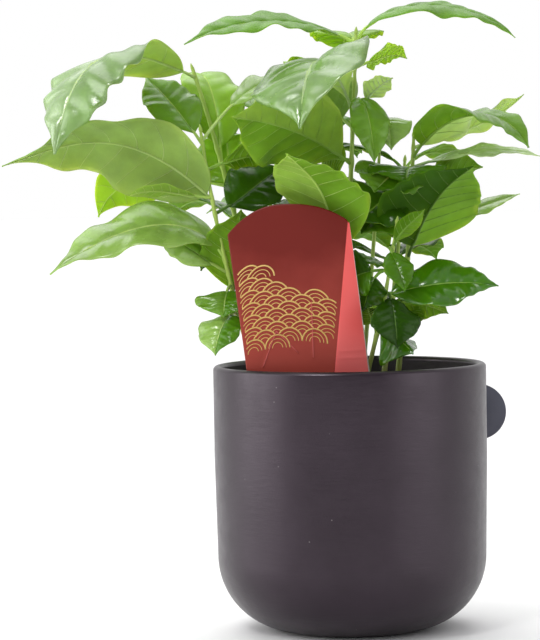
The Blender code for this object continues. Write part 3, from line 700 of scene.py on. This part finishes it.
def turned(name, profile, surfaces, tones):
    """A solid of revolution from a half profile that starts and ends on the axis. Each stretch of the
    profile has the number of its material in tones."""
    turn = np.linspace(0, 2 * math.pi, TURN_STEPS, endpoint=False)
    radius, height = np.array(profile[1:-1]).T[:, :, None]
    rings = np.stack([radius * np.cos(turn), radius * np.sin(turn), height + 0 * turn], -1)
    points = np.concatenate([[(0, 0, profile[0][1])], rings.reshape(-1, 3), [(0, 0, profile[-1][1])]])
    last = 1 + (len(radius) - 1) * TURN_STEPS
    steps = [(k, (k + 1) % TURN_STEPS) for k in range(TURN_STEPS)]
    faces = ([(0, 1 + following, 1 + k) for k, following in steps]
             + (grid_faces(len(radius), TURN_STEPS, closed=True) + 1).tolist()
             + [(len(points) - 1, last + k, last + following) for k, following in steps])
    return smooth_mesh(name, points, faces, surfaces, np.repeat(tones, TURN_STEPS))


def arc(centre, radius, start, end, count):
    """Points of an arc, from one angle to another."""
    turn = np.radians(np.linspace(start, end, count + 1))
    return [(centre[0] + radius * math.cos(a), centre[1] + radius * math.sin(a)) for a in turn]


def pot():
    """The cover pot: glazed outside, dull and dusty within, with a narrow ring under its foot."""
    half = WALL / 2
    corner = (FOOT_RADIUS, FILLET)
    inner = [(0.0, WALL)] + arc(corner, FILLET - WALL, -90, 0, 24) + [(RIM_RADIUS - WALL, 90.0)]
    rim = arc((RIM_RADIUS - half, POT_HEIGHT - half), half, 180, 0, 16)
    outer = [(RIM_RADIUS, 125.0), (RIM_RADIUS, 90.0)] + arc(corner, FILLET, 0, -90, 32)
    foot = [(FOOT_RADIUS - 0.6, 0.0), (FOOT_RADIUS - 4.0, 0.0), (FOOT_RADIUS - 4.6, 0.5), (0.0, 0.5)]
    profile = inner + rim + outer + foot
    tones = [1] * len(inner) + [0] * (len(rim + outer + foot) - 1)
    declare(turned("pot_body", profile, [pot_outside(), pot_inside()], tones), "pot")


def pot_outside():
    """Satin anthracite glaze: soft mottling, fine brushed lines and a few pale specks."""
    made, tree, shader = principled("pot_anthracite", (0.014, 0.008, 0.013), 0.34, 0.45)
    mottle = ramp(tree, noise(tree, 38.0, 5.0, 0.6),
                  (0.30, (0.009, 0.004, 0.008)), (0.72, (0.018, 0.011, 0.017)))
    cells = added(tree, "TexVoronoi", {"Scale": 160.0, "Vector": coordinates(tree)})
    specks = ramp(tree, cells.outputs["Distance"], (0.035, 1.0), (0.06, 0.0))
    sparse = ramp(tree, noise(tree, 60.0, 0.0), (0.66, 0.0), (0.70, 1.0))
    few = mixed(tree, "MULTIPLY", 1.0, specks, sparse)
    rough = ramp(tree, noise(tree, 120.0, 4.0, 0.6), (0.3, 0.30), (0.75, 0.40))
    give(shader, {"Specular Tint": (1.0, 0.87, 0.98, 1.0), "Roughness": rough})
    brushed = noise(tree, 90.0, 6.0, 0.65, stretch=(1.0, 1.0, 6.0))
    return finished(made, mixed(tree, "MIX", few, mottle, (0.16, 0.15, 0.15, 1.0)), brushed, 0.0002, 0.5)


def pot_inside():
    """The unglazed inner wall, dark and dusty."""
    made, tree, _ = principled("pot_inner_wall", (0.020, 0.013, 0.018), 0.7)
    dust = ramp(tree, noise(tree, 70.0, 5.0), (0.3, (0.013, 0.008, 0.012)), (0.8, (0.028, 0.019, 0.026)))
    return finished(made, dust, noise(tree, 300.0, 4.0), 0.0002)


def soil():
    """Peaty potting soil: an uneven surface with its own edge and underside, and loose crumbs on it."""
    radius = RIM_RADIUS - WALL - TOUCH
    r = np.linspace(0.0, radius, SOIL_RINGS + 1)[1:]
    turn = np.linspace(0, 2 * math.pi, SOIL_SPOKES, endpoint=False)
    x, y = r[:, None] * np.cos(turn), r[:, None] * np.sin(turn)
    height = SOIL_LEVEL + lumps(x, y) * np.clip((radius - r) / 6, 0, 1)[:, None] - TOUCH
    top = np.stack([x, y, height], -1).reshape(-1, 3)
    low = np.stack([x[-1], y[-1], np.full(SOIL_SPOKES, SOIL_LEVEL - SOIL_SKIRT)], -1)
    points = np.concatenate([top, low, [(0.0, 0.0, SOIL_LEVEL - TOUCH)]])
    rows = grid_faces(SOIL_RINGS + 1, SOIL_SPOKES, closed=True)[:, ::-1].tolist()
    fan = [(len(points) - 1, k, (k + 1) % SOIL_SPOKES) for k in range(SOIL_SPOKES)]
    floor = [tuple(len(top) + k for k in reversed(range(SOIL_SPOKES)))]
    faces = rows + fan + floor
    made = smooth_mesh("soil_surface", points, faces, [soil_material()], np.zeros(len(faces)))
    declare(made, "soil")
    crumbs(radius - 3)


def crumbs(reach):
    """Loose crumbs of peat on the soil, out to this distance from the pot's axis."""
    draw = random.Random(CRUMB_SEED)
    bm = bmesh.new()
    for _ in range(CRUMBS):
        angle, out = draw.uniform(0, 2 * math.pi), reach * math.sqrt(draw.random())
        x, y = out * math.cos(angle), out * math.sin(angle)
        size = draw.uniform(*CRUMB_SIZES)
        ball = bmesh.ops.create_icosphere(bm, subdivisions=1, radius=1.0)["verts"]
        stretch = np.array([size * draw.uniform(0.6, 1.2) for _ in range(3)])
        place = np.array([x, y, SOIL_LEVEL - TOUCH + float(lumps(x, y)) + 0.3 * size])
        for vert in ball:
            shake = 1 + draw.uniform(-0.22, 0.22)
            vert.co = (np.array(vert.co) * stretch * shake + place) * MM
    declare(from_bmesh("soil_crumbs", bm, soil_material()))


def lumps(x, y):
    """The soil's uneven height, from a few crossed waves."""
    return (0.7 * np.sin(0.21 * x + 0.4) * np.cos(0.17 * y) + 0.45 * np.sin(0.47 * x - 0.38 * y)
            + 0.3 * np.sin(0.9 * y + 0.6 * x + 1.0) + 0.18 * np.cos(1.7 * x - 1.1 * y))


def soil_material():
    """Peat: dark, crumbly and dull."""
    made, tree, _ = principled("peat", (0.03, 0.02, 0.014), 0.95)
    colour = ramp(tree, noise(tree, 420.0, 5.0, 0.7), (0.32, (0.010, 0.007, 0.005)),
                  (0.55, (0.035, 0.022, 0.014)), (0.78, (0.085, 0.055, 0.034)))
    return finished(made, colour, noise(tree, 900.0, 5.0, 0.7), 0.0008)


def card_point(across, up):
    """Point of the card: across is -1 to 1 on the front panel and up to 2 on the flap, up 0 at the foot."""
    rim_share = (POT_HEIGHT - SOIL_LEVEL) / (CARD_CREST - SOIL_LEVEL)
    taper = (up - rim_share) / (1 - rim_share)
    width = CARD_RIM_WIDTH + (CARD_TOP_WIDTH - CARD_RIM_WIDTH) * taper
    centre = CARD_RIM_X + (CARD_CREST_X - CARD_RIM_X) * taper
    on_panel = min(across, 1.0)
    shoulder = CARD_SHOULDERS[0] if on_panel < 0 else CARD_SHOULDERS[1]
    top = CARD_CREST - shoulder * abs(on_panel) ** 2.4
    foot = SOIL_LEVEL + TOUCH
    x = centre + width / 2 * on_panel
    y = CARD_RIM_Y + CARD_LEAN_BACK * taper - CARD_SLANT * (x - centre)
    z = foot + (top - foot) * up
    if across > 1.0:
        flap = FLAP_RIM_WIDTH * (1 - taper) * (across - 1) + 0.6
        x += flap * math.cos(math.radians(FLAP_FOLD))
        y += flap * math.sin(math.radians(FLAP_FOLD))
    return np.array([x, y, z])


def card_surface(across, up):
    """Point of the card with its soft warp and creases, and the panel's outward normal there."""
    step = 0.01
    beside = card_point(across + step, up) - card_point(across - step, up)
    above = card_point(across, up + step) - card_point(across, up - step)
    normal = np.cross(beside, above)
    normal /= np.linalg.norm(normal)
    if across > 1.0:
        height = sum(0.14 * math.exp(-((up - line) / 0.006) ** 2) for line in FLAP_CREASES)
    else:
        height = 0.35 * math.sin(2.4 * across + 0.8) * math.sin(5.2 * up)
        size = np.array([ORNAMENT_HALF, CARD_CREST - SOIL_LEVEL])
        for first, last in np.array(CREASES) * size:
            line, away = last - first, np.array([across, up]) * size - first
            apart = np.linalg.norm(away - np.clip(away @ line / (line @ line), 0.0, 1.0) * line)
            height += CREASE_DEPTH * math.exp(-(apart / CREASE_WIDTH) ** 2)
        height *= min(1.0, (1.0 - across) * 8)
    return card_point(across, up) + normal * height, normal


def label_card():
    """The folded card: dark red front with creases, coral flap, pale cut edge."""
    across = np.concatenate([np.linspace(-1, 1, CARD_COLUMNS + 1), np.linspace(1, 1.96, 10)[1:], [2.0]])
    up = np.linspace(0, 1, CARD_ROWS + 1)
    middle = np.array([[card_surface(a, u)[0] for u in up] for a in across])
    points, faces, fronts, _ = closed_sheet(middle, CARD_THICK)
    strip = np.arange(fronts) // CARD_ROWS
    front = np.where(strip == len(across) - 2, 2, np.where(strip >= CARD_COLUMNS, 1, 0))
    kinds = np.concatenate([front, np.full(fronts, 3), np.full(len(faces) - 2 * fronts, 2)])
    papers = [paper(name) for name in ("card_dark_red", "card_coral", "card_cut_edge", "card_back")]
    declare(smooth_mesh("card_sheet", points, faces.tolist(), papers, kinds), "label_card")


def in_ornament(u, v):
    """Whether the ornament's field holds a place: width from the panel's middle, height above the origin."""
    level, rise, width = FIELD_TOP
    ceiling = level + rise * math.exp(-((u + ORNAMENT_HALF) / width) ** 2)
    floor = FIELD_FOOT[0] + FIELD_FOOT[1] * (u + ORNAMENT_HALF)
    return floor <= v <= ceiling and abs(u) <= ORNAMENT_HALF


def uncovered(place, covers):
    """Whether a place on an arc shows: within the panel's edge and outside the scales in front of it."""
    u, v = place
    return abs(u) < ORNAMENT_EDGE and all(math.hypot(u - a, v - b) > SCALE_RADIUS for a, b in covers)


def card_line(sheet, places, radius, tone):
    """A raised line over the card's front, along places in the ornament's units."""
    foot = SOIL_LEVEL + TOUCH
    found = [card_surface(u / ORNAMENT_HALF, (v - foot) / (CARD_CREST - foot)) for u, v in places]
    points, normals = (np.array(values) for values in zip(*found))
    points = points + normals * CARD_THICK / 2
    beside = np.cross(tangents(points), normals)
    tube(sheet, points, beside, normals * 0.3, np.full(len(points), radius), 4, tone)


def card_ornament():
    """The ornament in gold, traditional fish scales: rows of nested arcs that overlap like roof tiles. With
    it come the worn lines along the creases."""
    sheet = Sheet()
    places = [((2 * k + row % 2) * SCALE_RADIUS, ORNAMENT_FOOT + row * SCALE_RADIUS / 2)
              for row in range(ORNAMENT_ROWS) for k in range(-5, 6)]
    centres = [(u, v) for u, v in places if in_ornament(u, v + SCALE_RADIUS / 2)]
    for u, v in centres:
        covers = [(a, b) for a, b in centres if b < v]
        for share, radius in SCALE_RINGS:
            rim = [(u + x, v + y) for x, y in arc((0.0, 0.0), share * SCALE_RADIUS, 0, 180, SCALE_STEPS - 1)]
            for shown, run in groupby(rim, lambda place: uncovered(place, covers)):
                run = list(run)
                if shown and len(run) > 3:
                    card_line(sheet, run, radius, 0)
    for first, last in np.array(CREASES):
        line = np.linspace(first, last, 12) * (ORNAMENT_HALF, CARD_CREST - SOIL_LEVEL) + (0, SOIL_LEVEL)
        card_line(sheet, line, CREASE_LINE, 1)
    declare(sheet.make("card_ornament", [paper("card_gold"), paper("card_crease")]))


def paper(name):
    """Printed card: colour over height, on the flap partly painted light, with a little mottle, and the faint
    tooth of paper.
    """
    rough, *stops = PAPERS[name]
    made, tree, _ = principled(name, stops[0][1], rough, 0.25)
    height = cloudy_height(tree, POT_HEIGHT, CARD_CREST, noise(tree, 45.0, 4.0))
    return finished(made, ramp(tree, height, *stops), noise(tree, 1500.0, 3.0), 0.00004)


def tag_material():
    """Bare printed card, dark blue-grey."""
    made, tree, _ = principled("tag_blue_grey", (0.085, 0.086, 0.125), 0.38)
    colour = ramp(tree, noise(tree, 60.0, 3.0), (0.3, (0.066, 0.068, 0.100)), (0.8, (0.105, 0.104, 0.145)))
    return finished(made, colour, noise(tree, 1400.0, 3.0), 0.00004)


def round_tag():
    """The small round card, a disc with a rounded rim, and its tab, which lies along the pot's wall."""
    surface = tag_material()
    angle = math.radians(TAG_ANGLE)
    wall = RIM_RADIUS - TAG_INSET
    reach = wall + TOUCH + TAG_THICK
    root = np.array([math.cos(angle) * reach, math.sin(angle) * reach, TAG_HEIGHT])

    bm = bmesh.new()
    bmesh.ops.create_cone(bm, cap_ends=True, segments=144, radius1=TAG_RADIUS, radius2=TAG_RADIUS,
                          depth=TAG_THICK)
    rim = [edge for edge in bm.edges if abs(edge.verts[0].co.z - edge.verts[1].co.z) < 0.1]
    bmesh.ops.bevel(bm, geom=rim, offset=0.22, segments=3, profile=0.5, affect="EDGES")
    caps = [face for face in bm.faces if len(face.verts) > 4]
    bmesh.ops.inset_individual(bm, faces=caps, thickness=0.3)
    for vert in bm.verts:
        x, y, z = vert.co
        vert.co = (root + (TAG_RADIUS - TAG_OVERLAP + x, z, y)) * MM
    bmesh.ops.recalc_face_normals(bm, faces=bm.faces)
    for face in bm.faces:
        face.smooth = True
    declare(from_bmesh("tag_disc", bm, surface), "round_tag")

    length, height = TAG_TAB
    turn = angle + (np.linspace(0, length, 25) - TAG_OVERLAP / 2) / wall
    radius = wall + TOUCH + TAG_THICK / 2
    rows = np.stack([radius * np.cos(turn), radius * np.sin(turn), np.full(len(turn), TAG_HEIGHT)], -1)
    levels = np.linspace(-height / 2, height / 2, 7)[None, :, None] * np.array([0.0, 0.0, 1.0])
    points, faces, _, _ = closed_sheet(rows[:, None, :] + levels, TAG_THICK)
    declare(smooth_mesh("tag_tab", points, faces.tolist(), [surface], np.zeros(len(faces))))


def bark_material():
    """Young stems: brownish at the soil, then fresh green, with pale flecks along the stem."""
    made, tree, _ = principled("stem_skin", (0.2, 0.36, 0.07), 0.42, 0.3)
    flecks = noise(tree, 260.0, 4.0, stretch=(1.0, 1.0, 0.25))
    colour = ramp(tree, cloudy_height(tree, SOIL_LEVEL - 4, SOIL_LEVEL + 60, flecks),
                  (0.22, (0.13, 0.085, 0.040)), (0.48, (0.24, 0.24, 0.060)), (0.75, (0.34, 0.47, 0.085)),
                  (1.0, (0.38, 0.53, 0.100)))
    return finished(made, colour, noise(tree, 500.0, 4.0, stretch=(1.0, 1.0, 0.2)), 0.0002)


def bark(name, specs, surface):
    """A stem with its relief: swollen nodes where leaf pairs stand, flats between, from under the soil."""
    nodes = np.array([spec["node"] for spec in specs])
    top = SEEDLINGS[name][2][2]
    heights = np.arange(SOIL_LEVEL - 4, top + 1.5, 1.5)
    centres = np.array([on_stem(name, z) for z in heights])
    radii = np.array([stem_radius(name, max(z, SOIL_LEVEL)) for z in heights])
    swell = np.exp(-((heights[:, None] - nodes[None, :]) / 1.8) ** 2).max(1)
    radii = radii * (1 + 0.32 * swell + 0.04 * np.sin(heights * 0.9))
    across, deep = (np.tile(axis, (len(heights), 1)) for axis in np.eye(3)[:2])
    stem = Sheet()
    tube(stem, centres, across, deep, radii, 12, 0)
    rise = np.linspace(-0.5, BUD_HEIGHT, len(BUD_RADII))
    lean = (on_stem(name, top) - on_stem(name, top - 6)) / 6
    bud = on_stem(name, top) + rise[:, None] * lean
    tube(stem, bud, across[:len(bud)], deep[:len(bud)], np.array(BUD_RADII), 8, 0)
    declare(stem.make("bark_" + name, [surface]), "stem_" + name)


def give(node, inputs):
    """Set a node's inputs, or link those whose value is another node's output."""
    for key, value in inputs.items():
        if isinstance(value, bpy.types.NodeSocket):
            node.id_data.links.new(value, node.inputs[key])
        else:
            node.inputs[key].default_value = value


def added(tree, kind, inputs, **options):
    """A new shader node with its options and inputs."""
    node = tree.nodes.new("ShaderNode" + kind)
    for key, value in options.items():
        setattr(node, key, value)
    give(node, inputs)
    return node


def principled(name, colour, roughness, specular=0.5):
    """A Principled material, its node tree and its shader."""
    made = bpy.data.materials.new(name)
    made.use_nodes = True
    shader = made.node_tree.nodes["Principled BSDF"]
    give(shader, {"Base Color": (*colour, 1.0), "Roughness": roughness, "Specular IOR Level": specular})
    return made, made.node_tree, shader


def coordinates(tree, kind="Object"):
    """Texture coordinates, of the object unless said otherwise."""
    return added(tree, "TexCoord", {}).outputs[kind]


def noise(tree, scale, detail=3.0, rough=0.5, stretch=None):
    """A noise texture in the object's own coordinates, optionally stretched per axis."""
    place = coordinates(tree)
    if stretch:
        place = added(tree, "Mapping", {"Scale": stretch, "Vector": place}).outputs["Vector"]
    inputs = {"Scale": scale, "Detail": detail, "Roughness": rough, "Vector": place}
    return added(tree, "TexNoise", inputs).outputs["Fac"]


def ramp(tree, source, *stops):
    """A colour ramp over a value; stops are (position, colour), and one number stands for a grey."""
    node = added(tree, "ValToRGB", {"Fac": source})
    elements = node.color_ramp.elements
    while len(elements) < len(stops):
        elements.new(0.5)
    for element, (position, colour) in zip(elements, stops):
        element.position = position
        element.color = (*np.broadcast_to(colour, 3), 1.0)
    return node.outputs["Color"]


def mixed(tree, blend, factor, first, second):
    """Two colours, mixed by a factor."""
    inputs = {"Factor": factor, "A": first, "B": second}
    return added(tree, "Mix", inputs, data_type="RGBA", blend_type=blend).outputs["Result"]


def ranged(tree, source, axis, low, high):
    """One axis of a vector, as 0 at low to 1 at high."""
    level = added(tree, "SeparateXYZ", {"Vector": source}).outputs[axis]
    return added(tree, "MapRange", {"From Min": low, "From Max": high, "Value": level}).outputs["Result"]


def cloudy_height(tree, low, high, cloud):
    """Share of the height between two levels, with half of a noise added."""
    height = ranged(tree, coordinates(tree), "Z", low * MM, high * MM)
    return added(tree, "Math", {0: cloud, 1: 0.5, 2: height}, operation="MULTIPLY_ADD").outputs["Value"]


def finished(made, colour, bumps, depth, strength=1.0):
    """The material with its colour and its bump, of a depth in metres."""
    tree = made.node_tree
    bump = added(tree, "Bump", {"Height": bumps, "Distance": depth, "Strength": strength})
    give(tree.nodes["Principled BSDF"], {"Base Color": colour, "Normal": bump.outputs["Normal"]})
    return made


def leaf_material(name, colour, roughness, gloss, glow):
    """Leaf tissue: mottled colour, waxy gloss in patches, a little light let through, leathery bump."""
    made, tree, shader = principled(name, colour, roughness, gloss)
    stops = [(place, tuple(c * k for c in colour)) for place, k in ((0.30, 0.80), (0.52, 1.0), (0.74, 1.22))]
    patches = ramp(tree, noise(tree, 85.0, 4.0), (0.35, 0.85 * roughness), (0.65, 1.30 * roughness))
    give(shader, {"Roughness": patches, "Subsurface Weight": glow, "Subsurface Radius": (1.0, 1.0, 0.4),
                  "Subsurface Scale": 0.002})
    return finished(made, ramp(tree, noise(tree, 55.0, 4.0, 0.55), *stops), noise(tree, 420.0, 3.0), 0.00012)


def leaf_materials():
    """Three materials for each tone: upper side, underside and veins."""
    surfaces = []
    for name, (*colours, rough, gloss) in TONES.items():
        top, under, vein = np.array(colours) / 1000
        surfaces += [leaf_material("leaf_top_" + name, top, rough, gloss, 0.12),
                     leaf_material("leaf_under_" + name, under, 0.60, 0.10, 0.55),
                     leaf_material("leaf_vein_" + name, vein, 0.5, 0.2, 0.5)]
    return surfaces


def camera():
    """The photograph's view: a long lens from the front, a little above the rim and a little rolled."""
    data = bpy.data.cameras.new("camera")
    data.sensor_width = 36.0
    data.lens = CAMERA_LENS
    made = placed("camera", data)
    made.location = Vector(CAMERA_PLACE) * MM
    away = Vector(CAMERA_TARGET) * MM - made.location
    made.rotation_euler = away.to_track_quat("-Z", "Y").to_euler()
    made.rotation_euler.rotate_axis("Z", math.radians(CAMERA_ROLL))
    bpy.context.scene.camera = made


def panel(name, place, aim, size, power, unseen):
    """A soft rectangular light that faces the plant's axis at a height."""
    data = bpy.data.lights.new(name, "AREA")
    data.shape = "RECTANGLE"
    data.size, data.size_y = size
    data.energy = power
    made = placed(name, data)
    made.location = place
    made.rotation_mode = "QUATERNION"
    made.rotation_quaternion = (Vector((0, 0, aim)) - Vector(place)).to_track_quat("-Z", "Y")
    if unseen:
        setattr(made, unseen, False)


def studio():
    """A pale floor, a pale surrounding and large soft lights above, in front of and beside the plant."""
    bm = bmesh.new()
    bmesh.ops.create_circle(bm, cap_ends=True, segments=96, radius=30.0)
    from_bmesh("floor", bm, principled("floor_pale", (0.98, 0.98, 0.98), 0.8)[0])

    world = bpy.data.worlds.new("surroundings")
    world.use_nodes = True
    tree = world.node_tree
    depth = ranged(tree, coordinates(tree, "Generated"), "Y", -0.6, 0.25)
    give(tree.nodes["Background"], {"Color": ramp(tree, depth, (0.0, (0.30, 0.30, 0.31)), (1.0, 1.0))})
    bpy.context.scene.world = world

    sun = bpy.data.lights.new("soft_top", "SUN")
    sun.energy = 1.25
    sun.angle = math.radians(55)
    falls = Vector((0.15, -0.55, -1.0)).to_track_quat("-Z", "Y")
    placed("soft_top", sun).rotation_euler = falls.to_euler()
    for name, values in PANELS.items():
        panel(name, *values)
    bpy.context.scene.view_settings.view_transform = "Standard"


def main():
    """The plant, its pot, soil and cards, then the camera and the studio."""
    crown = grow()
    surfaces = leaf_materials()
    draw = random.Random(LOOKS_SEED)
    for name, specs in crown.items():
        looks = list(SEEN_TONES.get(name, ()))
        for spec in specs[len(looks):]:
            looks.append(draw.choice(SHADED_TONES if spec["node"] < SHADE_HEIGHT else HIDDEN_TONES))
        dress_seedling(name, specs, looks, surfaces, draw)
    skin = bark_material()
    for name, specs in crown.items():
        bark(name, specs, skin)
    pot()
    soil()
    label_card()
    card_ornament()
    round_tag()
    camera()
    studio()


main()
